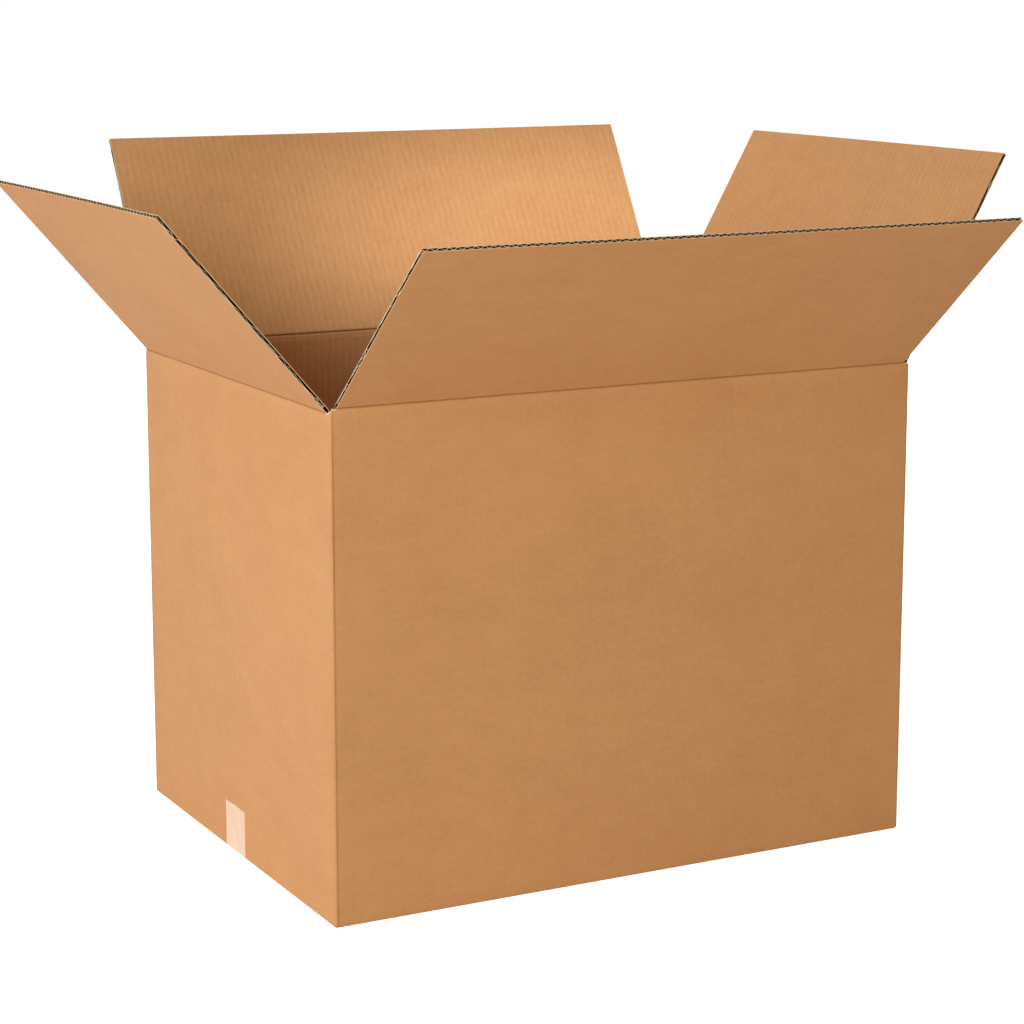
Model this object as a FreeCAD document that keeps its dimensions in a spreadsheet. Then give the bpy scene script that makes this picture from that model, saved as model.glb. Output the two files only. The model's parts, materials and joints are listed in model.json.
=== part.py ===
import FreeCAD, Part
import os
import Sketcher

# An open shipping box of plain kraft corrugated board, with its four top flaps spread.
# The blank is one folded sheet, joined by a glued tab inside the hidden back right corner.
# Its bottom flaps are folded shut and taped. Its top flaps turn on their creases.
#
# Frame: millimetres, +Z up, the origin on the floor at the centre of the box's footprint.
# X runs along the long walls. The front wall faces -Y and the left end wall faces -X.

document = FreeCAD.newDocument("shipping_box")

# Driving dimensions. A 24 x 18 x 18 inch box is named by its inside, and its outside is two
# boards more. The rest angles are what the flaps make with the horizontal, outwards.
SIZES = {
    "inside_length": 609.6,
    "inside_width": 457.2,
    "inside_height": 457.2,
    "board": 4.0,
    "liner": 0.5,
    "medium": 0.4,
    "flute_pitch": 8.05,
    "fold_radius": 3.0,
    "bottom_radius": 2.5,
    "slot_width": 14.0,
    "layer_gap": 0.3,
    "seam_gap": 1.0,
    "crease_gap": 0.25,
    "tape_width": 48.0,
    "tape_film": 0.1,
    "tape_leg": 49.0,
    "tape_shift": 6.5,
    "tape_tooth": 3.0,
    "tape_tooth_depth": 1.5,
    "tab_width": 35.0,
    "tab_taper": 12.0,
    "tab_end_gap": 6.0,
    "joint_gap": 1.5,
    "front_angle": 41.0,
    "back_angle": 60.2,
    "left_angle": 49.0,
    "right_angle": 60.3,
}

sheet = document.addObject("Spreadsheet::Sheet", "Sizes")
for row, (alias, size) in enumerate(SIZES.items(), start=1):
    sheet.set(f"A{row}", alias)
    sheet.set(f"B{row}", str(size))
    sheet.setAlias(f"B{row}", alias)
document.recompute()

# Lengths that follow from the driving dimensions, written once as expressions on the sheet.
BOARD = "Sizes.board"
HALF_LENGTH = "(Sizes.inside_length / 2 + Sizes.board)"
HALF_WIDTH = "(Sizes.inside_width / 2 + Sizes.board)"
INNER_HALF_LENGTH = "(Sizes.inside_length / 2)"
INNER_HALF_WIDTH = "(Sizes.inside_width / 2)"
LONG_HALF_SPAN = f"({HALF_LENGTH} - Sizes.slot_width / 2)"
SHORT_HALF_SPAN = f"({HALF_WIDTH} - Sizes.slot_width / 2)"
FLAP_DEPTH = f"({HALF_WIDTH} - Sizes.seam_gap / 2)"

# Heights from the floor: the tape, the long bottom flaps, the end bottom flaps and the floor
# of the inside. At the top, the end flaps close first, so their crease is one board lower.
BOTTOM = "Sizes.tape_film"
LONG_BOTTOM_TOP = f"({BOTTOM} + {BOARD})"
END_BOTTOM = f"({LONG_BOTTOM_TOP} + Sizes.layer_gap)"
END_BOTTOM_TOP = f"({END_BOTTOM} + {BOARD})"
END_CREASE = f"({END_BOTTOM_TOP} + Sizes.inside_height + {BOARD})"
LONG_CREASE = f"({END_CREASE} + {BOARD} + Sizes.layer_gap)"


def length_of(expression):
    """The number of millimetres that an expression on the sheet comes to."""
    return float(sheet.evalExpression(expression))


def new_body(label):
    body = document.addObject("PartDesign::Body", label)
    body.Label = label
    return body


def new_sketch(body, plane_role, name, offset=None):
    """A sketch on one of the body's own origin planes, moved along its normal by an offset."""
    plane = next(f for f in body.Origin.OriginFeatures if f.Role == plane_role)
    sketch = body.newObject("Sketcher::SketchObject", name)
    sketch.AttachmentSupport = [(plane, "")]
    sketch.MapMode = "FlatFace"
    if offset is not None:
        sketch.setExpression(".AttachmentOffset.Base.z", offset)
    return sketch


def hold_point(sketch, side, place, across, up, axes=("DistanceX", "DistanceY")):
    """Fixes a point of a side at two expressions, measured from the sketch's origin. Place 1
    is the side's start, 2 its end and 3 its centre."""
    origin = -1
    expressions = {"DistanceX": across, "DistanceY": up}
    for kind in axes:
        expression = expressions[kind]
        constraint = Sketcher.Constraint(kind, origin, 1, side, place, length_of(expression))
        index = sketch.addConstraint(constraint)
        sketch.setExpression(f"Constraints[{index}]", expression)


def point_at(corner):
    across, up = corner
    return FreeCAD.Vector(length_of(across), length_of(up), 0)


def quarter_arc(start, end, centre):
    """The arc between two points, and which of its own ends is the start."""
    radius = (start - centre).Length
    circle = Part.Circle(centre, FreeCAD.Vector(0, 0, 1), radius)
    anticlockwise = (start - centre).cross(end - centre).z > 0
    first, last = (start, end) if anticlockwise else (end, start)
    arc = Part.ArcOfCircle(circle, circle.parameter(first), circle.parameter(last))
    return arc, (1, 2) if anticlockwise else (2, 1)


def add_outline(sketch, corners, centre=None):
    """A closed outline whose corners are pairs of expressions. Its sides are straight lines,
    but where a centre is given the side that closes it is a quarter arc about that centre."""
    points = [point_at(corner) for corner in corners]
    sides = []
    for point, following in zip(points, points[1:] + points[:1]):
        closing = following is points[0]
        if closing and centre is not None:
            side, (start, end) = quarter_arc(point, following, point_at(centre))
        else:
            side, start, end = Part.LineSegment(point, following), 1, 2
        sides.append((sketch.addGeometry(side, False), start, end))
    for (side, start, end), following, corner in zip(sides, sides[1:] + sides[:1], corners):
        sketch.addConstraint(Sketcher.Constraint("Coincident", side, end, *following[:2]))
        hold_point(sketch, side, start, *corner)
    if centre is not None:
        hold_point(sketch, sides[-1][0], 3, *centre, axes=("DistanceX",))


def rectangle(low_across, high_across, low_up, high_up):
    return [
        (low_across, low_up),
        (high_across, low_up),
        (high_across, high_up),
        (low_across, high_up),
    ]


def add_pad(body, sketch, name, length, midplane=False, reverse=False):
    pad = body.newObject("PartDesign::Pad", name)
    pad.Profile = sketch
    pad.Midplane = midplane
    pad.Reversed = reverse
    pad.setExpression("Length", length)
    document.recompute()
    return pad


def add_pocket(body, sketch, name, length, midplane=False, reverse=False):
    before = body.Shape.Volume
    pocket = body.newObject("PartDesign::Pocket", name)
    pocket.Profile = sketch
    pocket.Midplane = midplane
    pocket.Reversed = reverse
    pocket.setExpression("Length", length)
    document.recompute()
    if body.Shape.Volume >= before:
        raise RuntimeError(f"{name} cuts nothing")
    return pocket


def add_fillet(body, name, radius, on_edge):
    """Rounds the edges of the body that the test on_edge picks by their end points."""
    base = body.Tip
    picked = []
    for number, edge in enumerate(base.Shape.Edges, start=1):
        ends = [vertex.Point for vertex in edge.Vertexes]
        if len(ends) == 2 and on_edge(*ends):
            picked.append(f"Edge{number}")
    if not picked:
        raise RuntimeError(f"{name} finds no edge")
    fillet = body.newObject("PartDesign::Fillet", name)
    fillet.Base = (base, picked)
    fillet.setExpression("Radius", radius)
    document.recompute()
    return fillet


def near(number, other):
    return abs(number - other) < 0.01


def make_walls(body):
    """The four walls as one tube, up to the end walls' crease, with rounded upright folds."""
    sketch = new_sketch(body, "XY_Plane", "wall_section", BOTTOM)
    add_outline(sketch, rectangle(f"-{HALF_LENGTH}", HALF_LENGTH, f"-{HALF_WIDTH}", HALF_WIDTH))
    inner = rectangle(
        f"-{INNER_HALF_LENGTH}", INNER_HALF_LENGTH, f"-{INNER_HALF_WIDTH}", INNER_HALF_WIDTH
    )
    add_outline(sketch, inner)
    add_pad(body, sketch, "walls", f"{END_CREASE} - {BOTTOM}")


def make_bottom_flaps(body):
    """The end flaps lie inside and leave a middle field bare. The long flaps nearly meet."""
    sketch = new_sketch(body, "YZ_Plane", "long_bottom_section")
    seam_edge = "Sizes.seam_gap / 2"
    for low, high in ((f"-{HALF_WIDTH}", f"-{seam_edge}"), (seam_edge, HALF_WIDTH)):
        add_outline(sketch, rectangle(low, high, BOTTOM, LONG_BOTTOM_TOP))
    add_pad(body, sketch, "long_bottom_flaps", f"2 * {LONG_HALF_SPAN}", midplane=True)

    sketch = new_sketch(body, "XZ_Plane", "end_bottom_section")
    inner_edge = f"({HALF_LENGTH} - {FLAP_DEPTH})"
    wall_middle = f"({HALF_LENGTH} - {BOARD} / 2)"
    for low, high in ((f"-{wall_middle}", f"-{inner_edge}"), (inner_edge, wall_middle)):
        add_outline(sketch, rectangle(low, high, END_BOTTOM, END_BOTTOM_TOP))
    add_pad(body, sketch, "end_bottom_flaps", f"2 * {SHORT_HALF_SPAN}", midplane=True)


def make_creased_tops(body):
    """Each wall's top is mitred from its outer face, where its flap turns. The long walls
    stand one board higher, and the slots beside them are cut down to the end crease."""
    sketch = new_sketch(body, "YZ_Plane", "long_wall_tops")
    overlap = f"({END_CREASE} - {BOARD})"
    outer_top = f"({LONG_CREASE} - Sizes.crease_gap)"
    inner_top = f"({LONG_CREASE} - Sizes.crease_gap - {BOARD})"
    for side in ("-", ""):
        corners = [
            (f"{side}{HALF_WIDTH}", overlap),
            (f"{side}{INNER_HALF_WIDTH}", overlap),
            (f"{side}{INNER_HALF_WIDTH}", inner_top),
            (f"{side}{HALF_WIDTH}", outer_top),
        ]
        add_outline(sketch, corners)
    add_pad(body, sketch, "long_wall_tops_pad", f"2 * {LONG_HALF_SPAN}", midplane=True)

    sketch = new_sketch(body, "XZ_Plane", "end_wall_tops")
    outer_top = f"({END_CREASE} - Sizes.crease_gap)"
    inner_top = f"({END_CREASE} - Sizes.crease_gap - {BOARD})"
    above = f"({END_CREASE} + {BOARD})"
    for side in ("-", ""):
        corners = [
            (f"{side}({HALF_LENGTH} + {BOARD})", f"({outer_top} + {BOARD})"),
            (f"{side}({INNER_HALF_LENGTH} - {BOARD})", f"({inner_top} - {BOARD})"),
            (f"{side}({INNER_HALF_LENGTH} - {BOARD})", above),
            (f"{side}({HALF_LENGTH} + {BOARD})", above),
        ]
        add_outline(sketch, corners)
    add_pocket(body, sketch, "end_wall_mitres", f"2 * {SHORT_HALF_SPAN}", midplane=True)


def round_bottom_folds(body):
    """The outside of each bottom fold is round over its flap's span. Beside it the slot leaves
    the foot of the upright fold square."""
    folds = (
        ("long_bottom_folds", "YZ_Plane", HALF_WIDTH, LONG_HALF_SPAN),
        ("end_bottom_folds", "XZ_Plane", HALF_LENGTH, SHORT_HALF_SPAN),
    )
    for name, plane_role, face, half_span in folds:
        sketch = new_sketch(body, plane_role, f"{name}_section")
        level = f"({BOTTOM} + Sizes.bottom_radius)"
        below = f"({BOTTOM} - {BOARD})"
        for side in ("-", ""):
            inset = f"{side}({face} - Sizes.bottom_radius)"
            beyond = f"{side}({face} + {BOARD})"
            corners = [(inset, BOTTOM), (inset, below), (beyond, below), (beyond, level)]
            add_outline(sketch, corners + [(f"{side}{face}", level)], centre=(inset, level))
        add_pocket(body, sketch, name, f"2 * {half_span}", midplane=True)


def round_upright_folds(body):
    """The walls' own folds are round. The back right corner has the glued joint instead."""
    half_length, half_width = length_of(HALF_LENGTH), length_of(HALF_WIDTH)

    def fold(a, b):
        upright = near(a.x, b.x) and near(a.y, b.y) and abs(a.z - b.z) > 100
        at_corner = near(abs(a.x), half_length) and near(abs(a.y), half_width)
        back_right = a.x > 0 and a.y > 0
        return upright and at_corner and not back_right

    add_fillet(body, "upright_folds", "Sizes.fold_radius", fold)


def make_glued_joint(body):
    """The right end wall's tab turns inside the back wall, which ends short of the corner."""
    sketch = new_sketch(body, "XZ_Plane", "tab_outline", f"-({INNER_HALF_WIDTH} - {BOARD})")
    tab_edge = f"({INNER_HALF_LENGTH} - Sizes.tab_width)"
    low = f"({END_BOTTOM_TOP} + Sizes.tab_end_gap)"
    high = f"({END_CREASE} - {BOARD} - Sizes.tab_end_gap)"
    corners = [
        (f"({INNER_HALF_LENGTH} + {BOARD} / 2)", low),
        (f"({INNER_HALF_LENGTH} + {BOARD} / 2)", high),
        (tab_edge, f"({high} - Sizes.tab_taper)"),
        (tab_edge, f"({low} + Sizes.tab_taper)"),
    ]
    add_outline(sketch, corners)
    add_pad(body, sketch, "glued_tab", BOARD, reverse=True)

    sketch = new_sketch(body, "XY_Plane", "back_wall_end")
    raw_edge = f"({HALF_LENGTH} - Sizes.joint_gap)"
    fold_start = f"({INNER_HALF_WIDTH} - Sizes.joint_gap)"
    beyond = f"({HALF_LENGTH} + {BOARD})"
    corners = [
        (HALF_LENGTH, fold_start),
        (beyond, fold_start),
        (beyond, f"({HALF_WIDTH} + {BOARD})"),
        (raw_edge, f"({HALF_WIDTH} + {BOARD})"),
        (raw_edge, INNER_HALF_WIDTH),
    ]
    add_outline(sketch, corners, centre=(raw_edge, fold_start))
    add_pocket(body, sketch, "back_wall_end_cut", f"{LONG_CREASE} + {BOARD}", reverse=True)


def make_box_body():
    body = new_body("box_body")
    make_walls(body)
    make_bottom_flaps(body)
    make_creased_tops(body)
    round_bottom_folds(body)
    round_upright_folds(body)
    make_glued_joint(body)
    return body


def add_flutes(body, half_span):
    """Two rows of three-sided channels run through the depth of a flap and leave the wavy
    middle sheet between them. The wave goes past both side edges, which cut it open."""
    sketch = new_sketch(body, "XZ_Plane", "flute_pair")
    half_pitch = "Sizes.flute_pitch / 2"
    rise = "(Sizes.board - 2 * Sizes.liner)"
    steepness = f"({rise} / ({half_pitch}))"
    half_base = f"({half_pitch} - Sizes.medium / 2 / sin(atan({steepness})))"
    height = f"({half_base} * {steepness})"
    first = f"-({half_span})"
    low, high = "Sizes.liner", "(Sizes.board - Sizes.liner)"
    upper = [
        (f"({first} - {half_base})", high),
        (f"({first} + {half_base})", high),
        (first, f"({high} - {height})"),
    ]
    middle = f"({first} + {half_pitch})"
    lower = [
        (f"({middle} - {half_base})", low),
        (f"({middle} + {half_base})", low),
        (middle, f"({low} + {height})"),
    ]
    add_outline(sketch, upper)
    add_outline(sketch, lower)
    channels = add_pocket(body, sketch, "flute_channels", FLAP_DEPTH)

    before = body.Shape.Volume
    row = body.newObject("PartDesign::LinearPattern", "flute_row")
    row.Originals = [channels]
    row.Direction = (sketch, ["H_Axis"])
    pitches = int(2 * length_of(half_span) / SIZES["flute_pitch"])
    row.Occurrences = pitches + 1
    row.setExpression("Length", f"{pitches} * Sizes.flute_pitch")
    body.Tip = row
    document.recompute()
    if body.Shape.Volume >= before:
        raise RuntimeError("the row of flutes cuts nothing")


def make_flap(label, half_span, hinge, turn, angle):
    """A flap is drawn flat from its hinge line, out along +Y with its inner face up, and then
    put at its wall: hinge is a point of the crease, turn its heading, angle its lift."""
    body = new_body(label)
    sketch = new_sketch(body, "YZ_Plane", "flap_section")
    corners = [
        ("Sizes.crease_gap", "0 * Sizes.board"),
        (FLAP_DEPTH, "0 * Sizes.board"),
        (FLAP_DEPTH, BOARD),
        (f"({BOARD} + Sizes.crease_gap)", BOARD),
    ]
    add_outline(sketch, corners)
    add_pad(body, sketch, "flap_board", f"2 * {half_span}", midplane=True)
    add_flutes(body, half_span)
    heading = FreeCAD.Rotation(FreeCAD.Vector(0, 0, 1), turn)
    lift = FreeCAD.Rotation(FreeCAD.Vector(1, 0, 0), length_of(angle))
    point = FreeCAD.Vector(*(length_of(distance) for distance in hinge))
    body.Placement = FreeCAD.Placement(point, heading.multiply(lift))
    return body


def make_tape():
    """One strip of packing tape along the bottom seam, turned up onto both end walls. Both
    ends have the saw edge of a tape dispenser."""
    body = new_body("bottom_tape")
    sketch = new_sketch(body, "XZ_Plane", "tape_run", "-Sizes.tape_shift")
    outer = f"({HALF_LENGTH} + Sizes.tape_film)"
    run = [
        (f"-{outer}", "Sizes.tape_leg"),
        (f"-{outer}", "0 * Sizes.tape_film"),
        (outer, "0 * Sizes.tape_film"),
        (outer, "Sizes.tape_leg"),
        (HALF_LENGTH, "Sizes.tape_leg"),
        (HALF_LENGTH, BOTTOM),
        (f"-{HALF_LENGTH}", BOTTOM),
        (f"-{HALF_LENGTH}", "Sizes.tape_leg"),
    ]
    add_outline(sketch, run)
    add_pad(body, sketch, "tape_strip", "Sizes.tape_width", midplane=True)

    half_length = length_of(HALF_LENGTH)
    film = length_of("Sizes.tape_film")

    def inner_turn(a, b):
        return near(a.x, b.x) and near(abs(a.x), half_length) and near(a.z, film) and near(b.z, film)

    def outer_turn(a, b):
        return near(a.x, b.x) and near(abs(a.x), half_length + film) and near(a.z, 0) and near(b.z, 0)

    add_fillet(body, "tape_inner_turns", "Sizes.bottom_radius", inner_turn)
    add_fillet(body, "tape_outer_turns", "Sizes.bottom_radius + Sizes.tape_film", outer_turn)

    sketch = new_sketch(body, "YZ_Plane", "saw_tooth")
    left_edge = "(Sizes.tape_shift - Sizes.tape_width / 2)"
    tooth = [
        (left_edge, "Sizes.tape_leg"),
        (f"({left_edge} + Sizes.tape_tooth / 2)", "(Sizes.tape_leg - Sizes.tape_tooth_depth)"),
        (f"({left_edge} + Sizes.tape_tooth)", "Sizes.tape_leg"),
    ]
    add_outline(sketch, tooth)
    notch = add_pocket(body, sketch, "saw_notch", f"2 * {HALF_LENGTH} + {BOARD}", midplane=True)
    teeth = int(SIZES["tape_width"] / SIZES["tape_tooth"])
    row = body.newObject("PartDesign::LinearPattern", "saw_edge")
    row.Originals = [notch]
    row.Direction = (sketch, ["H_Axis"])
    row.Occurrences = teeth
    row.setExpression("Length", f"{teeth - 1} * Sizes.tape_tooth")
    body.Tip = row
    document.recompute()
    return body


nodes = [make_box_body(), make_tape()]

# Each flap's crease point, heading and lift. The long flaps sit on the higher crease.
NONE = "0 * Sizes.board"
FLAPS = {
    "front_flap": (LONG_HALF_SPAN, (NONE, f"-{HALF_WIDTH}", LONG_CREASE), 180, "Sizes.front_angle"),
    "back_flap": (LONG_HALF_SPAN, (NONE, HALF_WIDTH, LONG_CREASE), 0, "Sizes.back_angle"),
    "left_flap": (SHORT_HALF_SPAN, (f"-{HALF_LENGTH}", NONE, END_CREASE), 90, "Sizes.left_angle"),
    "right_flap": (SHORT_HALF_SPAN, (HALF_LENGTH, NONE, END_CREASE), -90, "Sizes.right_angle"),
}
for label, (half_span, hinge, turn, angle) in FLAPS.items():
    nodes.append(make_flap(label, half_span, hinge, turn, angle))

document.recompute()
for item in document.Objects:
    if {"Invalid", "Error"} & set(item.State):
        raise RuntimeError(f"{item.Label} failed: {item.State}")
for node in nodes:
    if node.Shape.isNull() or not node.Shape.isValid() or len(node.Shape.Solids) != 1:
        raise RuntimeError(f"{node.Label} is not one valid solid")

os.makedirs("parts", exist_ok=True)
for node in nodes:
    node.Shape.exportStep(f"parts/{node.Label}.step")
    box = node.Shape.BoundBox
    print(
        f"{node.Label}: volume {node.Shape.Volume / 1000:.1f} cm3,",
        f"x {box.XMin:.2f} to {box.XMax:.2f}, y {box.YMin:.2f} to {box.YMax:.2f},",
        f"z {box.ZMin:.2f} to {box.ZMax:.2f}",
    )
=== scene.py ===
import json
import math
from collections import namedtuple

import bpy
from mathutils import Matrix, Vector, noise

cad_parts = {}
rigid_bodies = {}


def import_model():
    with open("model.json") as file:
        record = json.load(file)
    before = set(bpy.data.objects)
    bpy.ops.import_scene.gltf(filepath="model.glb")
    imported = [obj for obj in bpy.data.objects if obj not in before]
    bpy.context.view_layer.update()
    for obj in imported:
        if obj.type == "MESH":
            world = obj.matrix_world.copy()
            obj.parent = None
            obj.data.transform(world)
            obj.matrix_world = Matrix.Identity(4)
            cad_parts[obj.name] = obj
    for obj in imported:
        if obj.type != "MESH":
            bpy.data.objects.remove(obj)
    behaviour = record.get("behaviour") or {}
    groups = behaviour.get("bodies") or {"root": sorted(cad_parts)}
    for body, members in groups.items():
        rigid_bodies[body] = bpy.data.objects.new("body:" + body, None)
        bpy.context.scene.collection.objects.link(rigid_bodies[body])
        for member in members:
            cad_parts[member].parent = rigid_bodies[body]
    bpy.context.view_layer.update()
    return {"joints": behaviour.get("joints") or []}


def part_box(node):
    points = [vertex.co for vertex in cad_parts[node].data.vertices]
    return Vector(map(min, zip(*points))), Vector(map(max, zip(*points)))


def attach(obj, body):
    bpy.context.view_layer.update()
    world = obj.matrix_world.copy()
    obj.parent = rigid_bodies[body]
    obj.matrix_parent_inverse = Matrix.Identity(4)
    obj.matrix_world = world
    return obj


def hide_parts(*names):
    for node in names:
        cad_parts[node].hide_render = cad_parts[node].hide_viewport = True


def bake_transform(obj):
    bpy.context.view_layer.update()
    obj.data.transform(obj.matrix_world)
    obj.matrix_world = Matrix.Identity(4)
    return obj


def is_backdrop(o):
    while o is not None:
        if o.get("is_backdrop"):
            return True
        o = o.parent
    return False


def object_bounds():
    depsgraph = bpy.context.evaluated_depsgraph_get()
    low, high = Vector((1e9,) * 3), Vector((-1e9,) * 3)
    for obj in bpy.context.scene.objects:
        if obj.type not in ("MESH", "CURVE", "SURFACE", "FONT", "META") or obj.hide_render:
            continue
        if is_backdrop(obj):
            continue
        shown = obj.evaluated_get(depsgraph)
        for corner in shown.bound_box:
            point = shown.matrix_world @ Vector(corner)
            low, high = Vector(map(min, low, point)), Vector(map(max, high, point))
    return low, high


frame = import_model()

# The walls. One sheet of kraft corrugated board, a wavy middle sheet between two liners, is creased
# upright at three corners and glued at the fourth, where the right wall's tab lies inside the back
# wall. Outside, the liners show faint lines over the flutes, which run up the walls.
body_low, body_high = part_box("box_body")
hinges = {joint["child"]: Vector(joint["pos_m"]) for joint in frame["joints"]}
HALF_LENGTH = body_high.x
HALF_WIDTH = body_high.y
BOTTOM = body_low.z
BOARD = 0.004
LINER = 0.0005
FLUTE_PITCH = 0.00805
SLOT_WIDTH = 0.014
FOLD_RADIUS = 0.003
FOOT_RADIUS = 0.0025
FOLD_ARC = FOLD_RADIUS * math.pi / 2
FOLD_SCORE = 0.00025      # how deep the score line beside an upright fold is
SCORE_AT = 0.0026         # and how far past the fold's middle it runs
SCORE_STEP = 0.0006
SLOT_DROP = 0.0004        # from a long flap's crease down to its slots' bottoms
SLOT_BURR = 0.0011        # height of the pale cut edge at a slot's bottom
HOLLOW_DEPTH = 0.003      # how far one sees into a cut between the liners
FOLD_STEPS = 6
FOOT_STEPS = 4
STEP = FLUTE_PITCH / 6
CREASE_REACH = 0.006
JOINT_GAP = 0.0015
TAB_WIDTH = 0.035
TAB_TAPER = 0.012
TAB_END_GAP = 0.006
TAB_STEPS = 8
UPRIGHT_ROWS = 17
FLAP_GAP = 0.0003         # air between flaps that lie on each other
BOTTOM_TOP = BOTTOM + 2 * BOARD + FLAP_GAP
OUTER_SINK = 0.00001      # how far the outer liner sinks between the flutes
INNER_SINK = 0.00007
SINK_FADE_AT_CREASE = 0.005
SINK_FADE_AT_CUT = 0.006
SAME_PLACE = 1e-6         # two points this near each other count as one
SHARP_FOLD = math.radians(35)
# Each wall's heading, in degrees, turns a wall drawn facing +Y to its place. Half is half of its
# length, and face is how far its outer face lies from the box's middle. The flutes run on round
# the box, so the next wall's middle is a whole number of flutes further along the blank.
WALL_PITCHES = 67
Wall = namedtuple("Wall", "heading half face order")
WALLS = {
    "back": Wall(0, HALF_LENGTH, HALF_WIDTH, 0),
    "left": Wall(90, HALF_WIDTH, HALF_LENGTH, 1),
    "front": Wall(180, HALF_LENGTH, HALF_WIDTH, 2),
    "right": Wall(-90, HALF_WIDTH, HALF_LENGTH, 3),
}


def select_only(piece):
    bpy.ops.object.select_all(action="DESELECT")
    piece.select_set(True)
    bpy.context.view_layer.objects.active = piece


def start_picking(kind):
    """Deselects all of the active piece's mesh, so that its faces or corners are picked in code."""
    bpy.ops.object.mode_set(mode="EDIT")
    bpy.ops.mesh.select_mode(type=kind)
    bpy.ops.mesh.select_all(action="DESELECT")
    bpy.ops.object.mode_set(mode="OBJECT")


def lay_sheet(name, columns, rows, spot):
    """A sheet of paper: a grid primitive whose corners are put where spot says. For a column and a
    row, spot gives the place and the place on the flat blank, in metres, which is the UV map."""
    bpy.ops.object.select_all(action="DESELECT")
    bpy.ops.mesh.primitive_grid_add(x_subdivisions=columns - 1, y_subdivisions=rows - 1, size=1)
    sheet = bpy.context.object
    sheet.name = name
    on_blank = []
    for index, corner in enumerate(sheet.data.vertices):
        row, column = divmod(index, columns)
        corner.co, flat = spot(column, row)
        on_blank.append(flat)
    uv = sheet.data.uv_layers[0].uv
    for loop in sheet.data.loops:
        uv[loop.index].vector = on_blank[loop.vertex_index]
    return sheet


def ease(number):
    """Runs smoothly from 0 to 1 as the number does, and stays there outside."""
    number = min(max(number, 0.0), 1.0)
    return number * number * (3 - 2 * number)


def sink(u, v, crease, span_left, deep, tip):
    """How far a liner sinks towards the core between the flutes' tips, at a place on the blank. It
    is glued at the tips, wanders a little up the board, and is pressed flat at the creases."""
    wander = noise.noise(Vector((u * 14, v * 22, 1.3)))
    strength = 0.7 + 0.8 * noise.noise(Vector((u * 34, v * 26, 7.1)))
    strength += 0.8 * noise.noise(Vector((u * 130, v * 50, 3.7)))
    wave = 0.5 - 0.5 * math.cos(2 * math.pi * (u / FLUTE_PITCH - tip + 0.16 * wander))
    fade = ease(abs(v - crease) / SINK_FADE_AT_CREASE) * ease(span_left / SINK_FADE_AT_CUT)
    return deep * max(strength, 0.1) * wave * fade


def span_columns(half_span):
    """The columns across a flap or a wall: six to a flute, and one on each side edge."""
    most = int(half_span / STEP - 0.2)
    return [-half_span] + [STEP * k for k in range(-most, most + 1)] + [half_span]


def along_blank(wall, across):
    """The place along the blank of a point across a wall, which counts against its own +X."""
    return WALLS[wall].order * WALL_PITCHES * FLUTE_PITCH - across


def half_span_of(wall):
    """Half of the width of a wall's top flap, which ends at the slots."""
    return WALLS[wall].half - SLOT_WIDTH / 2


def wall_point(wall, across, out, z):
    """A point of a wall in the box's frame; out is measured from its outer face."""
    turn = math.radians(WALLS[wall].heading)
    c, s = math.cos(turn), math.sin(turn)
    x, y = across, WALLS[wall].face + out
    return Vector((c * x - s * y, s * x + c * y, z))


def fresh_nodes(material):
    """Empties a material's nodes and gives back a short way to add one, with its inputs."""
    material.use_nodes = True
    tree = material.node_tree
    tree.nodes.clear()

    def add(kind, inputs=None, **settings):
        node = tree.nodes.new(kind)
        for name, value in settings.items():
            setattr(node, name, value)
        for name, value in (inputs or {}).items():
            if isinstance(value, bpy.types.NodeSocket):
                tree.links.new(value, node.inputs[name])
            else:
                node.inputs[name].default_value = value
        return node

    return add


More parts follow.
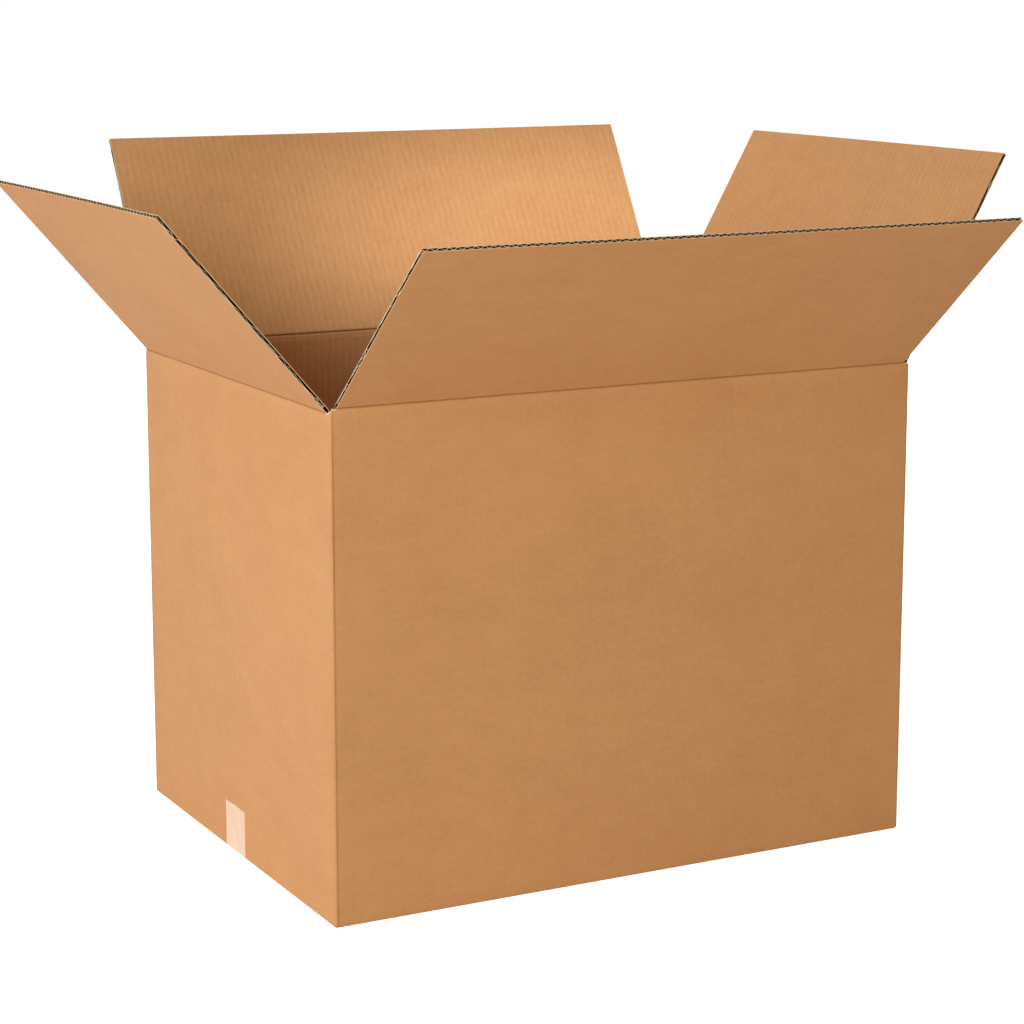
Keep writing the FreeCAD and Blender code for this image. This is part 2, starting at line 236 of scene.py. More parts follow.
def kraft_paper(name, dark, middle, light, roughness, flute_shade_and_streaks):
    """Unbleached kraft liner: cloudy, with fibres that lie across the flutes, fine grain, a few dark
    specks and paler rubbed folds. Painted shade, from the mesh's tone, darkens the score lines, folds,
    creases, foot and inner faces, and painted shade makes faint lines over the flutes."""
    material = bpy.data.materials.new(name)
    add = fresh_nodes(material)
    place = add("ShaderNodeUVMap", uv_map="UVMap").outputs["UV"]

    def pattern(scale, detail, rough=0.55, stretch=(1, 1, 1), turn=0.0, shift=0.0):
        held = add("ShaderNodeMapping", {"Vector": place, "Scale": stretch, "Rotation": (0, 0, turn),
                                         "Location": (shift, shift, 0)}).outputs["Vector"]
        sizes = {"Vector": held, "Scale": scale, "Detail": detail, "Roughness": rough}
        return add("ShaderNodeTexNoise", sizes).outputs["Fac"]

    def maths(operation, first, second=0.0, third=0.0):
        node = add("ShaderNodeMath", {0: first, 1: second, 2: third}, operation=operation)
        return node.outputs[0]

    clouds = pattern(9, 4, 0.6)
    blotches = pattern(45, 4, 0.6, stretch=(0.6, 1, 1), shift=4.0)
    flecks = pattern(210, 3, 0.6, stretch=(0.8, 1, 1), shift=7.0)
    fibres = pattern(60, 5, 0.7, stretch=(0.8, 14, 1), turn=0.03)
    crossing = pattern(90, 4, 0.7, stretch=(1, 9, 1), turn=-0.35, shift=2.0)
    grain = pattern(1300, 2)
    streaks = pattern(330, 4, 0.7, stretch=(1, 0.14, 1), shift=1.0)
    shares = (
        (clouds, 0.26),
        (blotches, 0.24),
        (flecks, 0.30),
        (fibres, 0.13),
        (crossing, 0.12),
        (grain, 0.28),
        (streaks, 2.2 * flute_shade_and_streaks),
    )
    tone = 0.5
    for layer, weight in shares:
        tone = maths("MULTIPLY_ADD", maths("SUBTRACT", layer, 0.5), weight, tone)

    # The lines over the flutes are painted shade of the liners' wavy relief, broken and wandering.
    # The mesh's own tone adds painted shade at the score lines.
    along = add("ShaderNodeSeparateXYZ", {0: place}).outputs["X"]
    turns = maths("MULTIPLY", along, 2 * math.pi / FLUTE_PITCH)
    wander = pattern(70, 3, 0.6, stretch=(1, 0.7, 1), shift=9.0)
    broken = maths("SUBTRACT", pattern(190, 3, 0.6, stretch=(1.4, 0.35, 1), shift=5.0), 0.4)
    broken = maths("MAXIMUM", broken, 0.0)
    line = maths("COSINE", maths("MULTIPLY_ADD", wander, 5.0, turns))
    tone = maths("MULTIPLY_ADD", maths("MULTIPLY", line, broken), 4.0 * flute_shade_and_streaks, tone)
    # The mesh's tone: paler rubbed wear, and painted shade at the score lines, folds, creases, foot and
    # inside.
    wear_and_shade = add("ShaderNodeAttribute", attribute_name="tone").outputs["Fac"]
    tone = maths("ADD", tone, wear_and_shade)

    ramp = add("ShaderNodeValToRGB", {"Fac": tone})
    stops = ramp.color_ramp.elements
    stops[0].position, stops[0].color = 0.0, (*dark, 1)
    stops[1].position, stops[1].color = 1.0, (*light, 1)
    halfway = stops.new(0.5)
    halfway.color = (*middle, 1)

    # Rare dark specks, and painted shade that turns the deepest creases and score lines deep brown.
    cells = add("ShaderNodeTexVoronoi", {"Vector": place, "Scale": 42.0, "Randomness": 1.0})
    size = maths("MULTIPLY", pattern(37, 1, shift=6.0), 0.016)
    rare = maths("GREATER_THAN", pattern(17, 2, shift=3.0), 0.56)
    speck = maths("MULTIPLY", maths("LESS_THAN", cells.outputs["Distance"], size), rare)
    speck = maths("MULTIPLY", speck, 0.75)
    crease_shade = maths("MULTIPLY_ADD", wear_and_shade, -1.2, -0.5)
    specks_and_shade = maths("MAXIMUM", speck, crease_shade)
    speck_and_shade_brown = (0.07, 0.035, 0.015, 1)
    colour = add("ShaderNodeMix", {0: specks_and_shade, 6: ramp.outputs["Color"], 7: speck_and_shade_brown},
                 data_type="RGBA").outputs[2]

    height = maths("MULTIPLY_ADD", grain, 0.5, maths("MULTIPLY", fibres, 0.6))
    bump = add("ShaderNodeBump", {"Height": height, "Strength": 0.35, "Distance": 0.00012})
    shader = add("ShaderNodeBsdfPrincipled", {
        "Base Color": colour,
        "Roughness": roughness,
        "Specular IOR Level": 0.25,
        "Normal": bump.outputs["Normal"],
    })
    add("ShaderNodeOutputMaterial", {"Surface": shader.outputs["BSDF"]})
    return material


def plain_paper(name, dark, light, scale, roughness):
    """Paper that shows only in slivers: the core inside the flutes, near-black as painted shade, or a
    cut edge with its fluff.
    """
    material = bpy.data.materials.new(name)
    add = fresh_nodes(material)
    place = add("ShaderNodeTexCoord").outputs["Object"]
    fluff = add("ShaderNodeTexNoise", {"Vector": place, "Scale": scale, "Detail": 4.0}).outputs["Fac"]
    ramp = add("ShaderNodeValToRGB", {"Fac": fluff})
    stops = ramp.color_ramp.elements
    stops[0].position, stops[0].color = 0.3, (*dark, 1)
    stops[1].position, stops[1].color = 0.7, (*light, 1)
    bump = add("ShaderNodeBump", {"Height": fluff, "Strength": 0.5, "Distance": 0.0002})
    shader = add("ShaderNodeBsdfPrincipled", {
        "Base Color": ramp.outputs["Color"],
        "Roughness": roughness,
        "Specular IOR Level": 0.2,
        "Normal": bump.outputs["Normal"],
    })
    add("ShaderNodeOutputMaterial", {"Surface": shader.outputs["BSDF"]})
    return material


outer_kraft = kraft_paper(
    "outer kraft liner", (0.47, 0.208, 0.073), (0.67, 0.326, 0.126), (0.81, 0.435, 0.190), 0.72, 0.014
)
inner_kraft = kraft_paper(
    "inner kraft liner", (0.455, 0.210, 0.076), (0.66, 0.328, 0.129), (0.80, 0.436, 0.194), 0.8, 0.12
)
# The core paper is near-black: painted shade inside the flutes and cut hollows, and on the liners'
# hidden backs.
painted_shade_core = plain_paper(
    "core paper in painted shade inside the flutes", (0.015, 0.005, 0.002), (0.035, 0.012, 0.005), 300, 0.95
)
cut_paper = plain_paper("cut paper edge", (0.88, 0.57, 0.30), (0.98, 0.74, 0.45), 900, 0.9)
BOARD_PAPERS = (outer_kraft, inner_kraft, painted_shade_core, cut_paper)
OUTSIDE, INSIDE, PAINTED_SHADE_CORE, CUT = range(len(BOARD_PAPERS))


def give_papers(piece, face=OUTSIDE):
    for paper in BOARD_PAPERS:
        piece.data.materials.append(paper)
    for polygon in piece.data.polygons:
        polygon.material_index = face


def thicken(piece, thickness, offset, back, rim):
    """Gives a sheet its thickness, with other papers on its back and on its cut edge."""
    select_only(piece)
    face = piece.data.polygons[0].material_index
    solid = piece.modifiers.new("thickness", "SOLIDIFY")
    solid.thickness = thickness
    solid.offset = offset
    solid.material_offset = back - face
    solid.material_offset_rim = rim - face
    bpy.ops.object.modifier_apply(modifier=solid.name)


def write_tone(piece, tones):
    """Stores how much darker or lighter each corner of the mesh is than plain board."""
    attribute = piece.data.attributes.new("tone", "FLOAT", "POINT")
    attribute.data.foreach_set("value", tones)


def finish_piece(piece):
    select_only(piece)
    bpy.ops.object.shade_smooth_by_angle(angle=SHARP_FOLD)


class Station:
    """A place on the walls' line round the box: its outer and inner point, outward normal, place on
    the blank, wall, distance left to the flap span's end, distance past the middle of the nearest
    fold, and the height at which the slots' bottoms are cut there."""

    def __init__(self, wall, across, out, normal, u, past, top):
        self.outer = wall_point(wall, across, out, 0)
        tip = wall_point(wall, across + normal[0], out + normal[1], 0)
        self.normal = tip - self.outer
        self.wall, self.u, self.past, self.top = wall, u, past, top
        self.left = half_span_of(wall) - abs(across)
        high_x = HALF_LENGTH - (JOINT_GAP if wall == "back" else BOARD)
        high_y = HALF_WIDTH - (2 * BOARD if wall == "right" else BOARD)
        self.inner = Vector((
            min(max(self.outer.x, BOARD - HALF_LENGTH), high_x),
            min(max(self.outer.y, BOARD - HALF_WIDTH), high_y),
            0,
        ))


def crease_of(wall):
    return hinges["front_flap"].z if wall in ("front", "back") else hinges["left_flap"].z


def bell(number, width):
    return math.exp(-((number / width) ** 2))


def walk_round():
    """All the stations, from the back wall's raw edge round to the free edge of the glued tab."""
    stations = []
    for wall in WALLS:
        half = WALLS[wall].half
        top = crease_of(wall) - (SLOT_DROP if wall in ("front", "back") else 0)
        next_top = crease_of("front") - SLOT_DROP if wall in ("left", "right") else crease_of("left")
        start = half - JOINT_GAP if wall == "back" else half - FOLD_RADIUS
        end = half - BOARD - JOINT_GAP if wall == "right" else half - FOLD_RADIUS
        span = [across for across in span_columns(half_span_of(wall)) if across > -end + STEP / 3]
        span = [start] + span[::-1] + [-end]
        beside = [half - FOLD_RADIUS - step * SCORE_STEP for step in (1, 2)]
        span += [side * across for across in beside for side in (-1, 1) if -end < side * across < start]
        for across in sorted(span, reverse=True):
            past = FOLD_ARC / 2 + (start - across if across > 0 else end + across)
            if across < 0:
                past = -past
            elif wall == "back":
                past = half
            stations.append(Station(wall, across, 0, (0, 1), along_blank(wall, across), past, top))
        radius = JOINT_GAP if wall == "right" else FOLD_RADIUS
        for step in range(1, FOLD_STEPS + (1 if wall == "right" else 0)):
            turn = math.pi / 2 * step / FOLD_STEPS
            across = -end - radius * math.sin(turn)
            out = radius * (math.cos(turn) - 1)
            u = along_blank(wall, -end) + radius * turn
            share = step / FOLD_STEPS
            past = FOLD_ARC * (share - 0.5)
            normal = (-math.sin(turn), math.cos(turn))
            here_top = top + (next_top - top) * share
            stations.append(Station(wall, across, out, normal, u, past, here_top))
    tab_face = -(HALF_WIDTH - BOARD)
    tab_reach = BOARD + TAB_WIDTH
    u = stations[-1].u
    for step in range(1, TAB_STEPS + 1):
        out = -JOINT_GAP - (tab_reach - JOINT_GAP) * step / TAB_STEPS
        on_blank = u - JOINT_GAP - out
        station = Station("right", tab_face, out, (-1, 0), on_blank, half, crease_of("right"))
        station.left = -1
        stations.append(station)
    return stations


stations = walk_round()
tab_start = len(stations) - TAB_STEPS
LONG_START = hinges["front_flap"].z - CREASE_REACH
END_START = hinges["left_flap"].z - CREASE_REACH
WALL_TOP = hinges["left_flap"].z
TAB_LOW = BOTTOM_TOP + TAB_END_GAP
TAB_HIGH = WALL_TOP - BOARD - TAB_END_GAP
foot_turns = [math.pi / 2 * step / FOOT_STEPS for step in range(FOOT_STEPS, -1, -1)]
upright = [TAB_LOW + (TAB_HIGH - TAB_LOW) * k / UPRIGHT_ROWS for k in range(UPRIGHT_ROWS + 1)]
beside_bottom_flaps = BOTTOM_TOP - 0.0008
levels = [beside_bottom_flaps] + upright + [END_START, LONG_START, WALL_TOP - SLOT_BURR, WALL_TOP]
row_count = len(foot_turns) + len(levels)


def foot_of(row):
    """The height of a row, and how far it is drawn in under the wall by the round bottom fold."""
    if row >= len(foot_turns):
        return levels[row - len(foot_turns)], 0.0
    turn = foot_turns[row]
    return BOTTOM + FOOT_RADIUS * (1 - math.sin(turn)), FOOT_RADIUS * (1 - math.cos(turn))


def height_at(column, row):
    """A row's height, which closes in towards the free edge of the tab."""
    if row >= row_count - 2:
        return stations[column].top - SLOT_BURR * (row_count - 1 - row)
    z = foot_of(row)[0]
    if column < tab_start or not TAB_LOW - SAME_PLACE < z < TAB_HIGH + SAME_PLACE:
        return z
    middle = (TAB_LOW + TAB_HIGH) / 2
    reach = max(HALF_LENGTH - BOARD - stations[column].outer.x, 0) / TAB_WIDTH
    return middle + (z - middle) * (1 - TAB_TAPER / (TAB_HIGH - middle) * reach)


def outside_of_wall(column, row):
    station = stations[column]
    z = height_at(column, row)
    deep = sink(station.u, z, crease_of(station.wall), station.left, OUTER_SINK, 0.0)
    scored = FOLD_SCORE * bell(station.past - SCORE_AT, 0.0007)
    corner = station.outer - station.normal * (foot_of(row)[1] + deep + scored)
    return (corner.x, corner.y, z), (station.u, z)


def inside_of_wall(column, row):
    station = stations[column]
    z = height_at(column, row)
    deep = sink(station.u, z, crease_of(station.wall), station.left, INNER_SINK, 0.5)
    corner = station.inner + station.normal * deep
    return corner.x, corner.y, z


walls = lay_sheet("walls", len(stations), row_count, outside_of_wall)
give_papers(walls)
# Each corner keeps its row and column while the sheet is cut and gets its thickness.
grid_places = [divmod(index, len(stations)) for index in range(len(walls.data.vertices))]
for part, name in enumerate(("row", "column")):
    attribute = walls.data.attributes.new(name, "INT", "POINT")
    attribute.data.foreach_set("value", [place[part] for place in grid_places])
# The top of each flap's span is cut away, where its crease takes over, and so is the blank above
# and below the glued tab. The slots' bottoms are cut edges.
start_picking("FACE")
for polygon in walls.data.polygons:
    row, column = divmod(polygon.index, len(stations) - 1)
    low = foot_of(row)[0]
    near, far = stations[column], stations[column + 1]
    start = LONG_START if near.wall in ("front", "back") else END_START
    in_span = near.wall == far.wall and min(near.left, far.left) > -SAME_PLACE
    past_tab = column >= tab_start - 1 and not TAB_LOW - SAME_PLACE < low < TAB_HIGH - SAME_PLACE
    polygon.select = past_tab or (in_span and low > start - SAME_PLACE)
    if row == row_count - 2:
        polygon.material_index = CUT
bpy.ops.object.mode_set(mode="EDIT")
bpy.ops.mesh.delete(type="FACE")
bpy.ops.object.mode_set(mode="OBJECT")
outside_count = len(walls.data.vertices)
thicken(walls, BOARD, -1, INSIDE, CUT)

# The inner face goes to its own place, and every corner gets its tone: paler where a fold is
# rubbed, a little lighter just under the crease, and painted shade along the score line and the
# fold, at the foot where the bottom fold turns under, and over the inner face, most in its corners.
rows = [value.value for value in walls.data.attributes["row"].data]
columns = [value.value for value in walls.data.attributes["column"].data]
tones = []
for corner in walls.data.vertices:
    column, row = columns[corner.index], rows[corner.index]
    station = stations[column]
    if corner.index >= outside_count:
        corner.co = inside_of_wall(column, row)
        # Painted shade: the inner face is darker, most of all at the folds' corners.
        tones.append(-0.15 - 0.25 * bell(station.past, 0.003))
        continue
    height, drawn_in = foot_of(row)
    wear_and_shade = 1 + 0.5 * noise.noise(Vector((height * 30, station.past * 200, 4.0)))
    rubbed = 0.12 * bell(station.past - 0.0045, 0.0009)
    # The dark score line is painted shade of its groove, and the fold's middle gets painted shade too.
    pressed = 0.45 * bell(station.past - SCORE_AT, 0.0008)
    scored = wear_and_shade * (rubbed - pressed) - 0.10 * bell(station.past + 0.0005, 0.0015)
    # Painted shade where the bottom fold turns under.
    foot = -0.35 * drawn_in / FOOT_RADIUS
    under_crease = bell(height - crease_of(station.wall) + 0.005, 0.004)
    tones.append(scored + foot + 0.08 * under_crease)
write_tone(walls, tones)
# Inside, the round folds close to sharp corners, whose doubled points are merged.
start_picking("VERT")
for corner in walls.data.vertices:
    corner.select = corner.index >= outside_count
bpy.ops.object.mode_set(mode="EDIT")
bpy.ops.mesh.remove_doubles(threshold=0.00002)
bpy.ops.object.mode_set(mode="OBJECT")
for name in ("row", "column"):
    walls.data.attributes.remove(walls.data.attributes[name])


def hollow_cut(piece, chosen):
    """Leaves the two liners' cut edges and sinks the board between them, as at an open flute, and
    colours the hollow with the near-black core paper as painted shade.
    """
    start_picking("FACE")
    picked = [polygon for polygon in piece.data.polygons if chosen(polygon)]
    for polygon in picked:
        polygon.select = True
    facing = sum((polygon.normal for polygon in picked), Vector()).normalized()
    bpy.ops.object.mode_set(mode="EDIT")
    bpy.ops.mesh.inset(thickness=LINER, depth=0)
    bpy.ops.mesh.extrude_region_move(TRANSFORM_OT_translate={"value": -facing * HOLLOW_DEPTH})
    bpy.ops.mesh.select_more()
    piece.active_material_index = PAINTED_SHADE_CORE
    bpy.ops.object.material_slot_assign()
    bpy.ops.object.mode_set(mode="OBJECT")


def at_slot(side_x, side_y):
    """Picks the cut faces at one corner's slot, which look up."""
    def chosen(polygon):
        at = polygon.center
        near_x = side_x * at.x > HALF_LENGTH - SLOT_WIDTH / 2 - 1e-5
        near_y = side_y * at.y > HALF_WIDTH - SLOT_WIDTH / 2 - 1e-5
        return polygon.normal.z > 0.6 and at.z > WALL_TOP - 1e-4 and near_x and near_y
    return chosen


def at_raw_edge(polygon):
    """Picks the back wall's upright cut at the glued joint."""
    at = polygon.center
    on_cut = polygon.normal.x > 0.9 and abs(at.x - (HALF_LENGTH - JOINT_GAP)) < 1e-5
    return on_cut and at.y > HALF_WIDTH - BOARD and at.z > 2 * FOOT_RADIUS


# The hollows at the slots' bottoms and the raw edge are painted shade.
for side_x, side_y in ((-1, -1), (-1, 1), (1, -1)):
    hollow_cut(walls, at_slot(side_x, side_y))
hollow_cut(walls, at_raw_edge)
finish_piece(walls)
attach(walls, "box")
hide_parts("box_body")

# The flaps. Each is the wall's own board, cut free along its two sides: two liners with the wavy
# middle sheet between them. The flutes open at the outer edge, and the side cuts run along them
# and lay the middle sheet bare in broken dashes. The middle sheet and the liners' backs inside are
# the near-black core paper, painted shade in the flutes.
SEAM_GAP = 0.001
FLAP_DEPTH = HALF_WIDTH - SEAM_GAP / 2
MIDDLE_SHEET = 0.0005
FLAP_ROWS = 18
FIELD_ROWS = 6
MIDDLE_PER_FLUTE = 10
# In a band along each side cut the flutes wander, and the middle sheet has closer rows.
BAND_FLUTES = 2.5
BAND_ROW = 0.003
EDGE_CRUSH = 0.0001       # how far the knife presses a liner in at a cut
EDGE_WIDTH = 0.0012
EDGE_RAGGED = 0.00012
FLAP_BOW = 0.0012


def spread(low, high, count):
    return [low + (high - low) * k / count for k in range(count + 1)]


def bow(across, half_span, out, near, far, amount):
    """A flap isn't quite flat: it lifts towards the middle of its free edge."""
    reach = (out - near) / (far - near)
    return amount * reach * reach * (1 - 0.8 * (across / half_span) ** 2)


def crush(across, half_span, out, far):
    """The knife presses both liners together a little along every cut edge."""
    side = bell(half_span - abs(across), EDGE_WIDTH)
    end = bell(far - out, EDGE_WIDTH)
    return EDGE_CRUSH * max(side, end)


def flap_board(name, wall, near, far, v_start, v_sign, amount, row_total):
    """A flap drawn flat, out along +Y from its hinge line, with its outer face down. It runs from
    near to far and bows by amount. Its hinge line is at the height v_start on the blank."""
    half_span = half_span_of(wall)

    def liner(across, outs, upper):
        def spot(column, row):
            x = across[column] if upper else across[-1 - column]
            out = outs[row]
            u, v = along_blank(wall, x), v_start + v_sign * out
            if row == len(outs) - 1:
                out += EDGE_RAGGED * noise.noise(Vector((u * 350, 4.0 if upper else 9.0, 0)))
            depth = INNER_SINK if upper else OUTER_SINK
            deep = sink(u, v, v_start, half_span - abs(x), depth, 0.5 * upper)
            deep += crush(x, half_span, out, far)
            level = BOARD - deep if upper else deep
            lift = bow(x, half_span, out, near, far, amount)
            return (x, out, level + lift), (u, v)
        return spot

    sheets = []
    across = span_columns(half_span)
    outs = spread(near, far - EDGE_WIDTH, row_total) + [far]
    for upper in (False, True):
        sheet = lay_sheet(name, len(across), len(outs), liner(across, outs, upper))
        give_papers(sheet, INSIDE if upper else OUTSIDE)
        thicken(sheet, LINER, -1, PAINTED_SHADE_CORE, CUT)
        sheets.append(sheet)

    gap = BOARD - 2 * LINER - MIDDLE_SHEET
    band = BAND_FLUTES * FLUTE_PITCH

    def middle_sheet(across, outs):
        def spot(column, row):
            x, out = across[column], outs[row]
            u, v = along_blank(wall, x), v_start + v_sign * out
            loose = ease((abs(x) - half_span + band) / band)
            slip = noise.noise(Vector((v * 75, 5.0 if x > 0 else 2.0, half_span * 10)))
            slip += 0.5 * noise.noise(Vector((v * 240, 6.0 if x > 0 else 3.0, half_span * 10)))
            wave = 0.5 - 0.5 * math.cos(2 * math.pi * (u / FLUTE_PITCH + 0.75 * slip * loose))
            squeeze = crush(x, half_span, out, far) / gap
            level = LINER + MIDDLE_SHEET / 2 + gap * (squeeze + wave * (1 - 2 * squeeze))
            return (x, out, level + bow(x, half_span, out, near, far, amount)), (u, v)
        return spot

    field = half_span - band
    field_columns = spread(-field, field, int(2 * field / FLUTE_PITCH * MIDDLE_PER_FLUTE))
    band_columns = spread(field, half_span, int(BAND_FLUTES * MIDDLE_PER_FLUTE))
    band_rows = spread(near, far, int((far - near) / BAND_ROW))
    layout = (
        (field_columns, spread(near, far, FIELD_ROWS)),
        (band_columns, band_rows),
        ([-x for x in reversed(band_columns)], band_rows),
    )
    for columns, rows in layout:
        sheet = lay_sheet(name, len(columns), len(rows), middle_sheet(columns, rows))
        give_papers(sheet, PAINTED_SHADE_CORE)
        thicken(sheet, MIDDLE_SHEET, 0, PAINTED_SHADE_CORE, CUT)
        sheets.append(sheet)
    bpy.ops.object.select_all(action="DESELECT")
    for sheet in sheets:
        sheet.select_set(True)
    bpy.context.view_layer.objects.active = sheets[0]
    bpy.ops.object.join()
    board = bpy.context.object
    board.name = name
    write_tone(board, [0.0] * len(board.data.vertices))
    return board


def put_at_wall(piece, lift, wall, at):
    """Turns a piece that is drawn flat up about its hinge line, and puts it at its wall."""
    select_only(piece)
    piece.rotation_euler = (lift, 0, math.radians(WALLS[wall].heading))
    piece.location = at
    bpy.ops.object.transform_apply(location=True, rotation=True, scale=True)


def rest_lift(wall):
    """A flap's angle above the horizontal, from how far it reaches out beyond its wall."""
    low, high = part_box(wall + "_flap")
    reach = {"front": -low.y, "back": high.y, "left": -low.x, "right": high.x}[wall]
    return math.acos((reach - WALLS[wall].face) / FLAP_DEPTH)


bows = {"front": -0.6, "back": -1.0, "left": 0.8, "right": 0.7}
for wall, share in bows.items():
    name = wall + "_flap_board"
    amount = FLAP_BOW * share
    board = flap_board(name, wall, CREASE_REACH, FLAP_DEPTH, crease_of(wall), 1, amount, FLAP_ROWS)
    put_at_wall(board, rest_lift(wall), wall, hinges[wall + "_flap"])
    finish_piece(board)
    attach(board, wall + "_flap")
    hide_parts(wall + "_flap")

# The creases of the top flaps. A scoring wheel crushes the board along a line, and the flap bends
# there: a fine groove outside, a dip in the inner liner, and the crushed edge at each side cut.
# Painted shade darkens the groove and, more, the inner dip.
OUTER_GROOVE = 0.0006
INNER_GROOVE = 0.0011
BEND = 0.003              # half of the length over which a crease bends
CREASE_ROWS = [0.006, 0.0045, 0.0032, 0.0022, 0.0015, 0.001, 0.0006, 0.0003]


def crease_line(lift, crease):
    """The section across a crease: place out and up from the hinge line, height on the blank,
    inward direction, darkness, and whether it is the inner liner. The darkness is painted shade in
    the outer groove and the inner dip, with a lighter band lower on the wall."""
    flap = (math.cos(lift), math.sin(lift))
    flap_in = (-flap[1], flap[0])
    ridge = BOARD * math.tan(math.pi / 4 - lift / 2)

    def past_hinge(q):
        """The place q past the hinge line, up the wall and out along the flap, and inward there."""
        share = ease(0.5 + q / 0.0016)
        inward = Vector((share * flap_in[0] - (1 - share), share * flap_in[1])).normalized()
        at = Vector((0, q)) if q < 0 else Vector(flap) * q
        return at, inward

    rows = []
    steps = [-q for q in CREASE_ROWS] + [0.0] + CREASE_ROWS[::-1]
    for q in steps:
        at, inward = past_hinge(q)
        at += inward * OUTER_GROOVE * bell(q, 0.0007)
        # Painted shade in the outer groove, and a lighter band lower on the wall.
        dark = -0.55 * bell(q, 0.0007) + 0.10 * bell(q + 0.0035, 0.002)
        rows.append((at, crease + q, inward, dark, False))
    reach = CREASE_REACH + ridge
    for step in reversed(steps):
        q = step * reach / CREASE_REACH
        along, inward = past_hinge(q)
        at = Vector((-BOARD, ridge)) + along
        at -= inward * INNER_GROOVE * bell(q, 0.0012)
        # Painted shadow along the inner dip.
        dark = -1.1 * bell(q, 0.0011)
        height = crease + (q + ridge if q < 0 else q - ridge)
        rows.append((at, height, inward, dark, True))
    return rows


def crease_strip(name, wall, lift):
    half_span = half_span_of(wall)
    crease = crease_of(wall)
    across = span_columns(half_span)
    section = crease_line(lift, crease)
    section.append(section[0])

    def spot(column, row):
        x = across[-1 - column]
        at, v, inward, _, inner = section[row]
        u = along_blank(wall, x)
        depth = INNER_SINK if inner else OUTER_SINK
        deep = sink(u, v, crease, half_span - abs(x), depth, 0.5 * inner)
        at = at - inward * deep if inner else at + inward * deep
        return (x, at.x, at.y), (u, v)

    strip = lay_sheet(name, len(across), len(section), spot)
    give_papers(strip)
    write_tone(strip, [dark for _, _, _, dark, _ in section for _ in across])
    outer_rows = len(section) // 2
    for polygon in strip.data.polygons:
        row = polygon.index // (len(across) - 1)
        polygon.material_index = INSIDE if row >= outer_rows else OUTSIDE
    bpy.ops.object.mode_set(mode="EDIT")
    bpy.ops.mesh.select_all(action="SELECT")
    bpy.ops.mesh.remove_doubles(threshold=0.000001)
    bpy.ops.object.mode_set(mode="OBJECT")
    for side in (-1, 1):
        start_picking("VERT")
        for corner in strip.data.vertices:
            corner.select = abs(corner.co.x - side * half_span) < SAME_PLACE
        strip.active_material_index = CUT
        bpy.ops.object.mode_set(mode="EDIT")
        bpy.ops.mesh.edge_face_add()
        bpy.ops.object.material_slot_assign()
        bpy.ops.mesh.select_mode(type="FACE")
        bpy.ops.mesh.inset(thickness=LINER, depth=0)
        move = {"value": (-side * HOLLOW_DEPTH, 0, 0)}
        bpy.ops.mesh.extrude_region_move(TRANSFORM_OT_translate=move)
        bpy.ops.mesh.select_more()
        # The hollow at the crease's side cut takes the near-black core paper, painted shade.
        strip.active_material_index = PAINTED_SHADE_CORE
        bpy.ops.object.material_slot_assign()
        bpy.ops.object.mode_set(mode="OBJECT")
    return strip


for wall in WALLS:
    flap = wall + "_flap"
    lift = rest_lift(wall)
    strip = crease_strip(wall + "_crease", wall, lift)
    put_at_wall(strip, 0, wall, hinges[flap])
    finish_piece(strip)
    up = Vector((0, 0, 1))
    start = hinges[flap] - up * BEND
    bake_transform(strip)

# The bottom flaps. The end flaps are folded in first and leave a bare field between them. The long
# flaps close under them and nearly meet at the seam, which the tape holds.
BOTTOM_FLAP_ROWS = 5
FLAP_CLEARANCE = 0.0001
for wall in ("left", "right", "front", "back"):
    at_end = wall in ("left", "right")
    near = BOARD + FLAP_CLEARANCE if at_end else FOOT_RADIUS
    top = BOTTOM_TOP if at_end else BOTTOM + BOARD
    name = wall + "_bottom_flap"
    board = flap_board(name, wall, near, FLAP_DEPTH, BOTTOM, -1, 0.0, BOTTOM_FLAP_ROWS)
    put_at_wall(board, math.pi, wall, wall_point(wall, 0, 0, top))
    finish_piece(board)
    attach(board, "box")

# The tape. One strip of thin pale film, 48 mm wide, holds the bottom seam and is turned up on both
# end walls. It is torn off on a saw blade, so both ends are jagged, and the board shows through.
TAPE_FILM = 0.00005
TAPE_LIFT = 0.0001        # the film's height over the board
TAPE_EDGE = 0.0009
TAPE_COLUMNS = 96
TAPE_END_ROWS = 16
TAPE_SEAM_ROWS = 60
TOOTH = 0.0052
TOOTH_DEPTH = 0.0019
TEAR_WANDER = 0.0006
WRINKLE = 0.00003
WRINKLE_FADE = 0.003
tape_low, tape_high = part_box("bottom_tape")
tape_width = tape_high.y - tape_low.y


def tape_line():
    """The film's path from its left end, down the wall, along the seam and up to its right end: the
    place, the direction that it faces, and the length so far."""
    foot = FOOT_RADIUS + TAPE_LIFT
    turn_x, turn_z = HALF_LENGTH - FOOT_RADIUS, BOTTOM + FOOT_RADIUS
    line = [(-HALF_LENGTH - TAPE_LIFT, z, -1, 0) for z in spread(tape_high.z, turn_z, TAPE_END_ROWS)]
    turns = [math.pi / 2 * k / FOOT_STEPS for k in range(1, FOOT_STEPS)]
    for turn in turns:
        facing = (-math.cos(turn), -math.sin(turn))
        line.append((-turn_x + foot * facing[0], turn_z + foot * facing[1], *facing))
    line += [(x, BOTTOM - TAPE_LIFT, 0, -1) for x in spread(-turn_x, turn_x, TAPE_SEAM_ROWS)]
    for turn in turns[::-1]:
        facing = (math.cos(turn), -math.sin(turn))
        line.append((turn_x + foot * facing[0], turn_z + foot * facing[1], *facing))
    line += [(HALF_LENGTH + TAPE_LIFT, z, 1, 0) for z in spread(turn_z, tape_high.z, TAPE_END_ROWS)]
    lengths = [0.0]
    for before, after in zip(line, line[1:]):
        lengths.append(lengths[-1] + math.dist(before[:2], after[:2]))
    return list(zip(line, lengths))


tape_path = tape_line()
tape_across = spread(0, tape_width, TAPE_COLUMNS)


